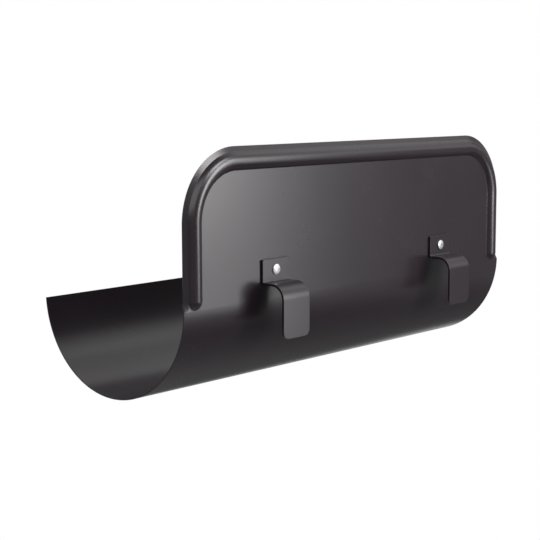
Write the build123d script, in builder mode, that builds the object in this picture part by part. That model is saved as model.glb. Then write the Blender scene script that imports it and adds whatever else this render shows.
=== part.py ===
# Gutter overflow guard: a half-round sheet trough that lies in a gutter and rises into a splash panel.
# Two riveted strip hooks hold it over the gutter's rolled front edge.
# Millimetres, +Z up. X runs along the gutter, the panel's face looks to -Y,
# and the origin is the middle of the trough's axis.
import os
from math import acos, asin, atan2, degrees, hypot, radians, sqrt, tan

from build123d import *

# Sheet, trough and panel
sheet = 0.7
length = 341.0
trough_radius = 62.0
rear_rim_drop = 4.5
panel_height = 93.3
panel_end_inset = 0.4
corner_radius = 44.7

# Bead pressed forward round the panel's sides and top
bead_inset = 8.8
bead_width = 11.6
bead_height = 3.25
bead_end_level = -1.8
bead_end_margin = 0.4

# Narrow edge strip outside the bead, turned back
flange_tilt = 27.0
flange_start_level = -1.6
flange_fade = 3.5

# Hooks, bent from flat strip
hook_pitch = 181.2
hook_width = 24.8
hook_strip = 1.5
hook_plate_top = 22.8
hook_shelf_level = 8.6
hook_reach = 18.4
hook_leg_end = -25.1
hook_root_bend = 1.0
hook_nose_bend = 8.1
hook_plate_corner = 1.0
hook_leg_corner = 4.4

# Blind rivets, set, with their mandrels broken off inside
rivet_level = 16.0
rivet_shank = 3.2
rivet_hole_clearance = 0.1
rivet_head = 6.6
rivet_head_height = 1.2
rivet_head_edge = 0.7
rivet_seat = 4.6
rivet_bulb = 5.4
rivet_bulb_depth = 1.2
rivet_tail = 3.4
rivet_tail_end = 4.2
mandrel_diameter = 1.8
mandrel_clearance = 0.1
mandrel_break_depth = 0.15
mandrel_head = 3.0
mandrel_head_height = 1.2

# Places worked out from the sizes above
half_length = length / 2
half_panel = half_length - panel_end_inset
rear_rim_angle = degrees(asin(rear_rim_drop / trough_radius))
panel_foot = bead_end_level - bead_end_margin
panel_reach = sqrt(trough_radius**2 - panel_foot**2)
panel_back = panel_reach - sheet
trough_inside = hypot(panel_back, panel_foot)
corner_x = half_panel - corner_radius
corner_z = panel_height - corner_radius
bead_half = bead_width / 2
bead_axis_x = half_panel - bead_inset
bead_end_z = bead_end_level + bead_half
bead_inner_inset = bead_inset + bead_half
flange_width = bead_inset - bead_half
crest_radius = (bead_half**2 + bead_height**2) / (2 * bead_height)
crest_angle = degrees(asin(bead_half / crest_radius))
hollow_radius = crest_radius - sheet
hollow_angle = degrees(acos((hollow_radius - bead_height) / hollow_radius))
flange_setback = flange_width * tan(radians(flange_tilt))
flange_full_level = flange_start_level + flange_fade
hook_places = {"left": -hook_pitch / 2, "right": hook_pitch / 2}
rivet_hole = rivet_shank + rivet_hole_clearance
rivet_grip = hook_strip + sheet
mandrel_bore = mandrel_diameter + mandrel_clearance

panel_face = Plane.XZ.offset(panel_reach)


def rim_plane(x, z, inward, normal):
    """A plane across the rim: its x runs inward from the panel's edge, and its y forward of the face."""
    return Plane((x, -panel_reach, z), x_dir=inward, z_dir=normal)


def side_plane(z):
    """The rim's section plane at a level of the panel's left side."""
    return rim_plane(-half_panel, z, (1, 0, 0), (0, 0, -1))


def bead_section(plane, whole=True):
    """The bead's sheet section, or its inner half up to the middle of the crest."""
    center = (bead_inset, bead_height - crest_radius)
    flanks = 2 if whole else 1
    with BuildSketch(plane) as section:
        with BuildLine():
            crest = CenterArc(center, crest_radius, 90 - crest_angle, flanks * crest_angle)
            hollow = CenterArc(center, hollow_radius, 90 - hollow_angle, flanks * hollow_angle)
            Polyline(crest @ 0, (bead_inner_inset, -sheet), hollow @ 0)
            if whole:
                Polyline(crest @ 1, (flange_width, -sheet), hollow @ 1)
            else:
                Line(crest @ 1, hollow @ 1)
        make_face()
    return section.sketch


def flange_section(plane, edge, setback):
    """The edge strip's sheet section, hinged at the bead's outer root and set back at its free edge."""
    with BuildSketch(plane) as section:
        with BuildLine():
            Polyline(
                (edge, -setback),
                (flange_width, 0),
                (flange_width, -sheet),
                (edge, -setback - sheet),
                close=True,
            )
        make_face()
    return section.sketch


def rivet_plane(hook_x):
    """A plane through a rivet's axis: its x is the radius, and its y runs forward from the hook plate."""
    return Plane((hook_x, -panel_reach - hook_strip, rivet_level), x_dir=(1, 0, 0), z_dir=(0, 0, -1))


def trough_arc(radius, front_reach):
    """One face of the trough's sheet, from the panel's foot round to the rear rim."""
    foot_angle = degrees(atan2(-panel_foot, front_reach))
    return CenterArc((0, 0), radius, 180 + foot_angle, 180 - foot_angle - rear_rim_angle)


# Trough: a little less than a half round, its rear rim a plain cut edge
with BuildPart() as trough:
    with BuildSketch(Plane.YZ):
        with BuildLine():
            outside = trough_arc(trough_radius, panel_reach)
            inside = trough_arc(trough_inside, panel_back)
            Line(outside @ 0, inside @ 0)
            Line(outside @ 1, inside @ 1)
        make_face()
    extrude(amount=half_length, both=True)

# Flat of the panel: up to the bead's inner root, and round the bead's ends to the edge strip's hinge line
with BuildPart() as flat_panel:
    with BuildSketch(panel_face):
        with BuildLine():
            Polyline(
                (0, panel_foot),
                (half_length, panel_foot),
                (half_length, flange_start_level),
                (half_panel - flange_width, flange_start_level),
                (half_panel - flange_width, bead_end_z),
            )
            CenterArc((bead_axis_x, bead_end_z), bead_half, 0, -180)
            Line((half_panel - bead_inner_inset, bead_end_z), (half_panel - bead_inner_inset, corner_z))
            CenterArc((corner_x, corner_z), corner_radius - bead_inner_inset, 0, 90)
            Line((corner_x, panel_height - bead_inner_inset), (0, panel_height - bead_inner_inset))
            mirror(about=Plane.YZ)
        make_face()
        with Locations(*[(hook_x, rivet_level) for hook_x in hook_places.values()]):
            Circle(rivet_hole / 2, mode=Mode.SUBTRACT)
    extrude(amount=-sheet)

# Rim: the bead and the edge strip along the top, round the corner and down the side, then mirrored
with BuildPart() as rim:
    top_plane = rim_plane(0, panel_height, (0, 0, -1), (-1, 0, 0))
    corner_plane = rim_plane(-corner_x, panel_height, (0, 0, -1), (-1, 0, 0))
    corner_axis = Axis((-corner_x, 0, corner_z), (0, -1, 0))
    extrude(bead_section(top_plane), amount=corner_x)
    revolve(bead_section(corner_plane), axis=corner_axis, revolution_arc=90)
    extrude(bead_section(side_plane(corner_z)), amount=corner_z - bead_end_z)
    bead_end_axis = Axis((-bead_axis_x, 0, bead_end_z), (0, 1, 0))
    revolve(bead_section(side_plane(bead_end_z), whole=False), axis=bead_end_axis, revolution_arc=180)
    extrude(flange_section(top_plane, 0, flange_setback), amount=corner_x)
    revolve(flange_section(corner_plane, 0, flange_setback), axis=corner_axis, revolution_arc=90)
    extrude(flange_section(side_plane(corner_z), 0, flange_setback), amount=corner_z - flange_full_level)
    flange_end = [
        flange_section(side_plane(flange_full_level), 0, flange_setback),
        flange_section(side_plane(flange_start_level), -panel_end_inset, 0),
    ]
    loft(flange_end, ruled=True)
    mirror(about=Plane.YZ)

with BuildPart() as guard_shell:
    add(trough.part)
    add(flat_panel.part)
    add(rim.part)
guard_shell.part.label = "guard_shell"

# Hooks: a plate on the panel, a shelf over the gutter's rolled edge and a leg in front of it
hooks = {}
for side, hook_x in hook_places.items():
    with BuildPart() as hook:
        with BuildSketch(Plane.YZ.offset(hook_x - hook_width / 2)):
            with BuildLine():
                plate_y = -panel_reach - hook_strip / 2
                shelf_z = hook_shelf_level - hook_strip / 2
                leg_y = -panel_reach - hook_reach + hook_strip / 2
                FilletPolyline(
                    (plate_y, hook_plate_top),
                    (plate_y, shelf_z),
                    (leg_y, shelf_z),
                    (leg_y, hook_leg_end),
                    radius=[hook_root_bend + hook_strip / 2, hook_nose_bend + hook_strip / 2],
                )
            trace(line_width=hook_strip)
        extrude(amount=hook_width)
        corners = hook.edges().filter_by(Axis.Y)
        fillet(corners.group_by(Axis.Z)[-1], radius=hook_plate_corner)
        fillet(corners.group_by(Axis.Z)[0], radius=hook_leg_corner)
        with BuildSketch(panel_face):
            with Locations((hook_x, rivet_level)):
                Circle(rivet_hole / 2)
        extrude(amount=hook_strip, mode=Mode.SUBTRACT)
    hook.part.label = f"hook_{side}"
    hooks[side] = hook.part

# Rivet bodies: a low domed, straight-edged head on the plate, a shank and a bulb behind the panel
with BuildPart() as rivet_bodies:
    for hook_x in hook_places.values():
        plane = rivet_plane(hook_x)
        with BuildSketch(plane):
            with BuildLine():
                tail_y = -rivet_grip - rivet_tail
                TangentArc(
                    (mandrel_bore / 2, rivet_head_height),
                    (rivet_head / 2, rivet_head_edge),
                    tangent=(1, 0),
                )
                Polyline(
                    (rivet_head / 2, rivet_head_edge),
                    (rivet_head / 2, 0),
                    (rivet_shank / 2, 0),
                    (rivet_shank / 2, -rivet_grip),
                    (rivet_seat / 2, -rivet_grip),
                    (rivet_bulb / 2, -rivet_grip - rivet_bulb_depth),
                    (rivet_tail_end / 2, tail_y),
                    (mandrel_bore / 2, tail_y),
                    (mandrel_bore / 2, rivet_head_height),
                )
            make_face()
        revolve(axis=Axis(plane.origin, plane.y_dir))
rivet_bodies.part.label = "rivet_bodies"

# Mandrels: a stem broken off just below the rivet's head, and a head drawn up against the rivet's tail
with BuildPart() as rivet_mandrels:
    for hook_x in hook_places.values():
        plane = rivet_plane(hook_x)
        with BuildSketch(plane):
            with BuildLine():
                stem_top = rivet_head_height - mandrel_break_depth
                seat_y = -rivet_grip - rivet_tail
                Polyline(
                    (0, seat_y - mandrel_head_height),
                    (0, stem_top),
                    (mandrel_diameter / 2, stem_top),
                    (mandrel_diameter / 2, seat_y),
                    (mandrel_head / 2, seat_y),
                    close=True,
                )
            make_face()
        revolve(axis=Axis(plane.origin, plane.y_dir))
rivet_mandrels.part.label = "rivet_mandrels"

os.makedirs("parts", exist_ok=True)
export_step(guard_shell.part, "parts/guard_shell.step")
for side, hook_part in hooks.items():
    export_step(hook_part, f"parts/hook_{side}.step")
export_step(rivet_bodies.part, "parts/rivet_bodies.step")
export_step(rivet_mandrels.part, "parts/rivet_mandrels.step")
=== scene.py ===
# Gutter overflow guard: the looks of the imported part, in metres and in the part's own frame.
from math import acos, asin, cos, pi, radians, sin, tan

import bmesh
import bpy
from mathutils import Matrix, Vector


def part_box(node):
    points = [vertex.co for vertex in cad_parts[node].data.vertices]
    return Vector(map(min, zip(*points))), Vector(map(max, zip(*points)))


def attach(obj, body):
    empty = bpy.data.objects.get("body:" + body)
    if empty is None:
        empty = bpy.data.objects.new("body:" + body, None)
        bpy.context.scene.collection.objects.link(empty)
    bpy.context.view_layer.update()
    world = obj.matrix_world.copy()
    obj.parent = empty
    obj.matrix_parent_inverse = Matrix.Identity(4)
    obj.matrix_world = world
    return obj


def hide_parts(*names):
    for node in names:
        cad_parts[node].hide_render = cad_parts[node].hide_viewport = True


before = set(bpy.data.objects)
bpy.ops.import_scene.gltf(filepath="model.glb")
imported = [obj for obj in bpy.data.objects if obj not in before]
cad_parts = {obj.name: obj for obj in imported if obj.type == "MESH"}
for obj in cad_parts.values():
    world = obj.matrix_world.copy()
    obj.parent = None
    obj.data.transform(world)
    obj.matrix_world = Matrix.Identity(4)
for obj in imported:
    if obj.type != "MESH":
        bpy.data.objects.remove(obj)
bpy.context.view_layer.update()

MM = 0.001
X_AXIS = (1, 0, 0)
Y_AXIS = (0, 1, 0)

# Points closer together than this count as one
near = 0.001 * MM

# Sheet and panel
sheet = 0.7 * MM
panel_end_inset = 0.4 * MM
panel_foot = -2.2 * MM
corner_radius = 44.7 * MM
cut_edge_rounding = 0.12 * MM

# Bead round the panel's sides and top
bead_inset = 8.8 * MM
bead_width = 11.6 * MM
bead_root_radius = 0.15 * MM
bead_end_level = -1.8 * MM

# Edge strip outside the bead, turned back
flange_tilt = radians(27)
flange_start_level = -1.6 * MM
flange_fade = 3.5 * MM

# Hooks, bent from flat strip
hook_strip = 1.5 * MM
hook_shelf_level = 8.6 * MM
hook_root_bend = 1.0 * MM
hook_nose_bend = 8.1 * MM
hook_plate_corner = 1.0 * MM
hook_leg_corner = 4.4 * MM
strip_edge_rounding = 0.2 * MM

# How finely round stretches are divided, and the turn from which an edge is rounded
root_steps = 5
crest_steps = 32
corner_steps = 48
bead_end_steps = 28
trough_steps = 120
hook_bend_steps = 14
hook_corner_steps = 6
edge_steps = 2
sharp_turn = radians(50)

# Satin coating: its two tones, roughness and reflection, and how its tone, gloss and grain vary
coat_deep = (0.0185, 0.0112, 0.0167, 1)
coat_light = (0.0215, 0.0137, 0.0197, 1)
guard_roughness = 0.27
hook_roughness = 0.28
coat_reflection = 0.8
coat_drift_scale = 22.0
coat_cloud_scale = 140.0
coat_grain_scale = 1500.0
coat_drift_gloss = 0.02
coat_cloud_gloss = 0.01
coat_grain_strength = 0.25
coat_grain_height = 0.004 * MM

# Bare metal of the rivets: tones and roughness, a cloudy gloss, and turned rings in radians per metre
rivet_deep = (0.60, 0.60, 0.61, 1)
rivet_light = (0.70, 0.70, 0.71, 1)
rivet_roughness = 0.50
mandrel_deep = (0.46, 0.46, 0.47, 1)
mandrel_light = (0.58, 0.58, 0.59, 1)
mandrel_roughness = 0.38
metal_cloud_scale = 900.0
metal_cloud_gloss = 0.12
ring_turns = 26000.0
ring_strength = 0.3
ring_height = 0.004 * MM

# Noises: their middle, how layered they are, and where one reaches the deep and the light tone
noise_middle = 0.5
plain_detail = 2.0
layered_detail = 3.0
deep_stop = 0.3
light_stop = 0.7

# Camera, at the photograph's viewing angle
camera_place = Vector((-0.7330, -0.6162, 0.1243))
camera_heading, camera_pitch, camera_roll = radians(49.036), radians(-7.316), radians(-0.193)
sensor_width = 36.0
photo_width = 540
focal_pixels = 1374.8
view_heading = Vector((sin(camera_heading), cos(camera_heading), 0))
view_right = Vector((cos(camera_heading), -sin(camera_heading), 0))

# Floor and backdrop
floor_level = -1.00
stage_half_width = 8.0
stage_paint = (0.85, 0.85, 0.85, 1)
backdrop_reach = 3.0
backdrop_height = 3.0
full_white = (1, 1, 1, 1)

# White stretch behind the part: how far back it starts and is full, its half width at the part where it is
# full and where it ends, and how much both widths grow for each metre further back
white_from, white_full = 2.0, 2.35
white_half_full, white_half_end = 0.22, 0.38
white_spread = 0.2

# Other surroundings: the distances over which the stage starts to glow, and levels as seen and as a light
far_from, far_full = 1.8, 3.0
seen_level = 0.2
room_light = 0.07

# Softboxes: place, the spot each faces, width, height, and how bright the face is, where 1 is white
lit_spot = (0, -0.03, 0.02)
softboxes = {
    "key_light": ((0.312, -0.686, 0.175), (-0.160, -0.169, 0.175), 0.20, 0.35, 10.0),
    "low_light": ((0.386, -0.618, -0.10), (-0.086, -0.101, -0.10), 0.20, 0.20, 2.6),
    "edge_light": ((0.422, -0.585, 0.175), (-0.050, -0.068, 0.175), 0.10, 0.35, 2.6),
    "front_light": ((0.154, -0.695, 0.555), (-0.155, -0.062, 0.08), 0.38, 0.22, 9.0),
    "left_light": ((-0.507, -0.503, 0.42), lit_spot, 0.72, 0.50, 1.4),
    "side_light": ((0.600, -0.376, 0.42), lit_spot, 0.30, 0.70, 0.65),
    "top_light": ((0.477, 0.037, 0.659), lit_spot, 0.70, 0.75, 0.55),
    "back_light": ((-0.376, 0.507, 0.479), lit_spot, 0.60, 0.50, 5.0),
}

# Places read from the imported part, or worked out from it
shell_low, shell_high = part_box("guard_shell")
half_length = shell_high.x
panel_height = shell_high.z
trough_radius = -shell_low.z
panel_reach = -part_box("hook_left")[1].y
bead_height = -shell_low.y - panel_reach
foot_angle = asin(-panel_foot / trough_radius)
rear_rim_angle = acos(shell_high.y / trough_radius)
half_panel = half_length - panel_end_inset
corner_x = half_panel - corner_radius
corner_z = panel_height - corner_radius
bead_half = bead_width / 2
bead_axis_x = half_panel - bead_inset
bead_end_z = bead_end_level + bead_half
crest_radius = (bead_half**2 + bead_height**2) / (2 * bead_height) - bead_root_radius
crest_angle = asin(bead_half / (crest_radius + bead_root_radius))
rivet_low, rivet_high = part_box("rivet_bodies")
rivet_level = (rivet_low.z + rivet_high.z) / 2
rivet_x = (rivet_high.x - rivet_low.x) / 2 - (rivet_high.z - rivet_low.z) / 2


class Value:
    """A shader socket. Arithmetic on it adds Math nodes to its finish."""

    def __init__(self, finish, socket):
        self.finish = finish
        self.socket = socket

    def math(self, operation, first, second):
        return self.finish.node("ShaderNodeMath", {"operation": operation}, {0: first, 1: second})

    def through(self, operation):
        """The value passed through a Math node with one input, such as SINE."""
        return self.finish.node("ShaderNodeMath", {"operation": operation}, {0: self})

    def __add__(self, other):
        return self.math("ADD", self, other)

    __radd__ = __add__

    def __sub__(self, other):
        return self.math("SUBTRACT", self, other)

    def __rsub__(self, other):
        return self.math("SUBTRACT", other, self)

    def __mul__(self, other):
        return self.math("MULTIPLY", self, other)

    __rmul__ = __mul__


class Finish:
    """A node material, or the world, whose nodes are added one call at a time."""

    def __init__(self, owner):
        self.owner = owner
        owner.use_nodes = True
        self.tree = owner.node_tree
        self.tree.nodes.clear()

    def node(self, kind, settings=None, sockets=None, out=0):
        """Adds a node: its settings first, then the values or links of its sockets."""
        node = self.tree.nodes.new(kind)
        for name, value in (settings or {}).items():
            if name == "stops":
                set_stops(node.color_ramp, value)
            else:
                setattr(node, name, value)
        for name, value in (sockets or {}).items():
            if isinstance(value, Value):
                self.tree.links.new(value.socket, node.inputs[name])
            else:
                node.inputs[name].default_value = value
        return Value(self, node.outputs[out])

    def noise(self, place, scale, detail):
        """Cloudy noise between 0 and 1."""
        return self.node("ShaderNodeTexNoise", {}, {"Vector": place, "Scale": scale, "Detail": detail})

    def tones(self, deep, light, factor):
        """A colour that drifts with the factor from the deep tone to the light one."""
        stops = [(deep_stop, deep), (light_stop, light)]
        return self.node("ShaderNodeValToRGB", {"stops": stops}, {"Fac": factor})

    def dot(self, first, second):
        """How far the first vector reaches along the second, which has length 1."""
        sockets = {0: first, 1: second}
        return self.node("ShaderNodeVectorMath", {"operation": "DOT_PRODUCT"}, sockets, out="Value")

    def ease(self, value, start, end):
        """A smooth step from 0 at the start to 1 at the end."""
        sockets = {"Value": value, "From Min": start, "From Max": end}
        return self.node("ShaderNodeMapRange", {"interpolation_type": "SMOOTHSTEP"}, sockets)

    def seen(self):
        """1 for rays that show the surroundings, in view or in a reflection, and 0 for rays that light."""
        kinds = ("Camera", "Glossy", "Transmission")
        view, mirrored, through = [self.node("ShaderNodeLightPath", out=f"Is {kind} Ray") for kind in kinds]
        sockets = {0: view + mirrored, 1: through}
        return self.node("ShaderNodeMath", {"operation": "ADD", "use_clamp": True}, sockets)

    def surface(self, shader, kind="ShaderNodeOutputMaterial"):
        """Ends the finish with its shader and returns the material or the world."""
        output = self.tree.nodes.new(kind)
        self.tree.links.new(shader.socket, output.inputs["Surface"])
        return self.owner


def set_stops(ramp, stops):
    """Sets a colour ramp's stops from pairs of place and colour."""
    while len(ramp.elements) < len(stops):
        ramp.elements.new(1.0)
    for element, (place, colour) in zip(ramp.elements, stops):
        element.position = place
        element.color = colour


def satin_coat(name, roughness):
    """Satin dark coating: faint tone and gloss drift over a very fine levelled grain."""
    finish = Finish(bpy.data.materials.new(name))
    place = finish.node("ShaderNodeTexCoord", out="Object")
    drift = finish.noise(place, coat_drift_scale, layered_detail)
    cloud = finish.noise(place, coat_cloud_scale, plain_detail)
    grain = finish.noise(place, coat_grain_scale, plain_detail)
    colour = finish.tones(coat_deep, coat_light, drift)
    gloss = roughness + coat_drift_gloss * (drift - noise_middle) + coat_cloud_gloss * (cloud - noise_middle)
    relief = {"Strength": coat_grain_strength, "Distance": coat_grain_height, "Height": grain}
    bump = finish.node("ShaderNodeBump", {}, relief)
    sockets = {
        "Base Color": colour,
        "Roughness": gloss,
        "Specular IOR Level": coat_reflection,
        "Normal": bump,
    }
    return finish.surface(finish.node("ShaderNodeBsdfPrincipled", {}, sockets))


def turned_metal(name, deep, light, roughness):
    """Bare metal of the rivets: fine rings about each rivet's axis and a cloudy gloss."""
    finish = Finish(bpy.data.materials.new(name))
    place = finish.node("ShaderNodeTexCoord", out="Object")
    along = finish.node("ShaderNodeSeparateXYZ", {}, {"Vector": place}, out="X")
    level = finish.node("ShaderNodeSeparateXYZ", {}, {"Vector": place}, out="Z")
    across = along.through("ABSOLUTE") - rivet_x
    rise = level - rivet_level
    radius = (across * across + rise * rise).through("SQRT")
    rings = (radius * ring_turns).through("SINE")
    cloud = finish.noise(place, metal_cloud_scale, layered_detail)
    colour = finish.tones(deep, light, cloud)
    gloss = roughness + metal_cloud_gloss * (cloud - noise_middle)
    relief = {"Strength": ring_strength, "Distance": ring_height, "Height": rings}
    bump = finish.node("ShaderNodeBump", {}, relief)
    sockets = {"Base Color": colour, "Metallic": 1.0, "Roughness": gloss, "Normal": bump}
    return finish.surface(finish.node("ShaderNodeBsdfPrincipled", {}, sockets))


def verts_of(geom):
    """The vertices in a list of geometry."""
    return [g for g in geom if isinstance(g, bmesh.types.BMVert)]


def edges_of(geom, keep=lambda vert: True):
    """The edges in a list of geometry whose two vertices are both kept."""
    return [g for g in geom if isinstance(g, bmesh.types.BMEdge) and all(keep(v) for v in g.verts)]


def with_ends(edges):
    """Edges together with their vertices, as a sweep takes them."""
    return list({v for e in edges for v in e.verts}) + edges


def draw_on(bm, vert, place):
    """Draws an edge from a vertex to a place and returns its far vertex."""
    far = bmesh.ops.extrude_vert_indiv(bm, verts=[vert])["verts"][0]
    far.co = place
    return far


def turn_on(bm, geom, centre, axis, angle, steps):
    """Sweeps vertices and edges round an axis and returns those at the far end."""
    return bmesh.ops.spin(bm, geom=geom, cent=centre, axis=axis, angle=angle, steps=steps)["geom_last"]


def run_on(bm, edges, move):
    """Extrudes edges along a straight line and returns the vertices and edges at the far end."""
    made = bmesh.ops.extrude_edge_only(bm, edges=edges)["geom"]
    verts = verts_of(made)
    bmesh.ops.translate(bm, verts=verts, vec=move)
    reached = set(verts)
    return verts + edges_of(made, lambda v: v in reached)


def piece_from(name, bm):
    """A new object in the scene from a finished bmesh."""
    mesh = bpy.data.meshes.new(name)
    bm.to_mesh(mesh)
    bm.free()
    piece = bpy.data.objects.new(name, mesh)
    bpy.context.scene.collection.objects.link(piece)
    return piece


def sheet_piece(name, bm, thickness, offset, rounding):
    """Turns an open surface into a sheet of its real thickness, with softly rounded cut edges."""
    piece = piece_from(name, bm)
    polygons = piece.data.polygons
    polygons.foreach_set("use_smooth", [True] * len(polygons))
    wall = piece.modifiers.new("wall", "SOLIDIFY")
    wall.thickness = thickness
    wall.offset = offset
    wall.use_even_offset = True
    edge = piece.modifiers.new("edge", "BEVEL")
    edge.width = rounding
    edge.segments = edge_steps
    edge.limit_method = "ANGLE"
    edge.angle_limit = sharp_turn
    piece.modifiers.new("shade", "WEIGHTED_NORMAL")
    return piece


def rim_point(inset, forward):
    """A place on the rim's section at the middle of the panel's top."""
    return Vector((0, -panel_reach - forward, panel_height - inset))


def draw_rim_section(bm):
    """Draws the rim's section: inner root, crest, outer root, then the edge strip."""
    inner = bead_inset + bead_half
    outer = bead_inset - bead_half
    crest_centre = rim_point(bead_inset, bead_height - crest_radius)
    end = [bm.verts.new(rim_point(inner, 0))]
    end = turn_on(bm, end, rim_point(inner, bead_root_radius), X_AXIS, crest_angle, root_steps)
    end = turn_on(bm, end, crest_centre, X_AXIS, -2 * crest_angle, crest_steps)
    end = turn_on(bm, end, rim_point(outer, bead_root_radius), X_AXIS, crest_angle, root_steps)
    draw_on(bm, end[0], rim_point(0, -outer * tan(flange_tilt)))
    return list(bm.edges)


def make_guard_sheet():
    """One sheet: the rim swept round the panel's left half and mirrored, the flat panel and the trough."""
    bm = bmesh.new()
    top = run_on(bm, draw_rim_section(bm), (-corner_x, 0, 0))
    corner = turn_on(bm, top, (-corner_x, 0, corner_z), Y_AXIS, -pi / 2, corner_steps)
    side = run_on(bm, edges_of(corner), (0, 0, bead_end_z - corner_z))

    # Round end of the bead, turned from the inner half of its section
    inner_half = edges_of(side, lambda v: v.co.x > -bead_axis_x - near)
    turn_on(bm, with_ends(inner_half), (-bead_axis_x, 0, bead_end_z), Y_AXIS, pi, bead_end_steps)

    # Edge strip below the bead's end, where it fades into the flat
    outer_root_x = -bead_axis_x - bead_half
    strip = edges_of(side, lambda v: v.co.x < outer_root_x + near and v.co.y > -panel_reach - near)
    strip_end = run_on(bm, strip, (0, 0, flange_start_level + flange_fade - bead_end_z))
    faded = run_on(bm, edges_of(strip_end), (0, 0, -flange_fade))
    for vert in verts_of(faded):
        if vert.co.y > -panel_reach + near:
            vert.co = (-half_length, -panel_reach, vert.co.z)
    bmesh.ops.remove_doubles(bm, verts=bm.verts, dist=near)
    bmesh.ops.mirror(bm, geom=bm.verts[:] + bm.edges[:] + bm.faces[:], axis="X", merge_dist=near)

    # Flat panel inside the rim, and the trough turned on from its foot
    rim_verts = list(bm.verts)
    feet = [bm.verts.new((x, -panel_reach, panel_foot)) for x in (-half_length, half_length)]
    ends = [min(rim_verts, key=lambda v: (v.co - foot.co).length) for foot in feet]
    foot_line = bm.edges.new(feet)
    closing = [foot_line] + [bm.edges.new(pair) for pair in zip(ends, feet)]
    flat = [e for e in bm.edges if e.is_boundary and all(abs(v.co.y + panel_reach) < near for v in e.verts)]
    panel = bmesh.ops.edgeloop_fill(bm, edges=flat + closing)["faces"]
    bmesh.ops.triangulate(bm, faces=panel)
    turn_on(bm, with_ends([foot_line]), (0, 0, 0), X_AXIS, pi - rear_rim_angle - foot_angle, trough_steps)
    bmesh.ops.recalc_face_normals(bm, faces=bm.faces)
    if max(bm.faces, key=lambda f: f.calc_area()).normal.y > 0:
        bmesh.ops.reverse_faces(bm, faces=bm.faces)
    return sheet_piece("guard_sheet", bm, sheet, -1, cut_edge_rounding)


def make_hook(name, node):
    """A strip hook: plate, tight root bend, shelf, round nose bend and leg."""
    low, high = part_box(node)
    bm = bmesh.new()
    root = hook_root_bend + hook_strip / 2
    nose = hook_nose_bend + hook_strip / 2
    plate_y = high.y - hook_strip / 2
    shelf_z = hook_shelf_level - hook_strip / 2
    leg_y = low.y + hook_strip / 2
    end = bm.verts.new((low.x, plate_y, high.z))
    end = draw_on(bm, end, (low.x, plate_y, shelf_z + root))
    end = turn_on(bm, [end], (low.x, plate_y - root, shelf_z + root), X_AXIS, -pi / 2, hook_bend_steps)[0]
    end = draw_on(bm, end, (low.x, leg_y + nose, shelf_z))
    end = turn_on(bm, [end], (low.x, leg_y + nose, shelf_z - nose), X_AXIS, pi / 2, hook_bend_steps)[0]
    draw_on(bm, end, (low.x, leg_y, low.z))
    run_on(bm, list(bm.edges), (high.x - low.x, 0, 0))
    for level, rounding in ((high.z, hook_plate_corner), (low.z, hook_leg_corner)):
        corners = [v for v in bm.verts if abs(v.co.z - level) < near]
        bmesh.ops.bevel(
            bm,
            geom=corners,
            offset=rounding,
            segments=hook_corner_steps,
            profile=0.5,
            affect="VERTICES",
            material=-1,
        )
    bmesh.ops.recalc_face_normals(bm, faces=bm.faces)
    return sheet_piece(name, bm, hook_strip, 0, strip_edge_rounding)


def softbox(name, place, aim, width, height, glow):
    """A rectangular studio light. Glow is how bright its face is, where 1 is white."""
    lamp = bpy.data.lights.new(name, "AREA")
    lamp.shape = "RECTANGLE"
    lamp.size = width
    lamp.size_y = height
    lamp.energy = glow * pi * width * height
    light = bpy.data.objects.new(name, lamp)
    light.location = place
    light.rotation_mode = "QUATERNION"
    light.rotation_quaternion = (Vector(aim) - Vector(place)).to_track_quat("-Z", "Y")
    bpy.context.scene.collection.objects.link(light)


def make_camera():
    """The camera at the photograph's viewing angle."""
    lens = bpy.data.cameras.new("camera")
    lens.sensor_width = sensor_width
    lens.lens = sensor_width * focal_pixels / photo_width
    camera = bpy.data.objects.new("camera", lens)
    turn = Matrix.Rotation(-camera_heading, 4, "Z") @ Matrix.Rotation(pi / 2 + camera_pitch, 4, "X")
    camera.matrix_world = Matrix.Translation(camera_place) @ turn @ Matrix.Rotation(camera_roll, 4, "Z")
    bpy.context.scene.collection.objects.link(camera)
    bpy.context.scene.camera = camera


def stage_piece(name, corners, material):
    """A flat piece of the studio: the floor or the backdrop."""
    bm = bmesh.new()
    bm.faces.new([bm.verts.new(corner) for corner in corners])
    piece = piece_from(name, bm)
    piece.data.materials.append(material)


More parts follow.
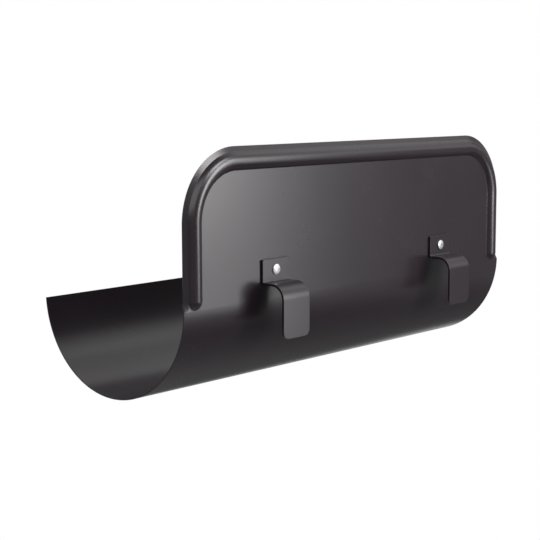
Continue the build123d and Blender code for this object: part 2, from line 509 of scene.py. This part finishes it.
def stage_finish():
    """Pale paint. Where it is seen, it glows plain white behind the part and faintly far from it."""
    finish = Finish(bpy.data.materials.new("pale_stage"))
    place = finish.node("ShaderNodeTexCoord", out="Object")
    behind = finish.dot(place, view_heading)
    aside = finish.dot(place, view_right).through("ABSOLUTE")
    white = finish.ease(behind, white_from, white_full)
    white *= finish.ease(white_spread * behind - aside, -white_half_end, -white_half_full)
    far = finish.node("ShaderNodeVectorMath", {"operation": "LENGTH"}, {0: place}, out="Value")
    faint = seen_level * finish.ease(far, far_from, far_full)
    shown = finish.node("ShaderNodeMath", {"operation": "MAXIMUM"}, {0: white, 1: faint})
    paint = finish.node("ShaderNodeBsdfDiffuse", {}, {"Color": stage_paint})
    glow = finish.node("ShaderNodeEmission", {}, {"Color": full_white, "Strength": 1.0})
    sockets = {0: shown * finish.seen(), 1: paint, 2: glow}
    return finish.surface(finish.node("ShaderNodeMixShader", {}, sockets))


def make_stage():
    """A plain floor below the hung part, and a backdrop behind it."""
    material = stage_finish()
    wide = stage_half_width
    spread = [(-wide, -wide), (wide, -wide), (wide, wide), (-wide, wide)]
    stage_piece("floor", [(x, y, floor_level) for x, y in spread], material)
    across = view_right * wide
    foot = view_heading * backdrop_reach + Vector((0, 0, floor_level))
    top = foot + Vector((0, 0, backdrop_height))
    stage_piece("backdrop", [foot - across, foot + across, top + across, top - across], material)


def make_world():
    """Even surroundings: grey where they are seen, and dimmer as a light."""
    world = bpy.data.worlds.new("studio")
    bpy.context.scene.world = world
    finish = Finish(world)
    dim = finish.node("ShaderNodeBackground", {}, {"Color": full_white, "Strength": room_light})
    grey = finish.node("ShaderNodeBackground", {}, {"Color": full_white, "Strength": seen_level})
    shader = finish.node("ShaderNodeMixShader", {}, {0: finish.seen(), 1: dim, 2: grey})
    finish.surface(shader, "ShaderNodeOutputWorld")


guard_coat = satin_coat("guard_coat", guard_roughness)
hook_coat = satin_coat("hook_coat", hook_roughness)
rivet_metal = turned_metal("rivet_metal", rivet_deep, rivet_light, rivet_roughness)
mandrel_metal = turned_metal("mandrel_metal", mandrel_deep, mandrel_light, mandrel_roughness)

guard_sheet = make_guard_sheet()
guard_sheet.data.materials.append(guard_coat)
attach(guard_sheet, "root")
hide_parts("guard_shell")

for hook_side in ("left", "right"):
    hook = make_hook(f"strip_hook_{hook_side}", f"hook_{hook_side}")
    hook.data.materials.append(hook_coat)
    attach(hook, "root")
    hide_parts(f"hook_{hook_side}")

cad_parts["rivet_bodies"].data.materials[0] = rivet_metal
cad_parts["rivet_mandrels"].data.materials[0] = mandrel_metal

make_stage()
make_world()
make_camera()
for light_name, light_sizes in softboxes.items():
    softbox(light_name, *light_sizes)
bpy.context.scene.view_settings.view_transform = "Standard"
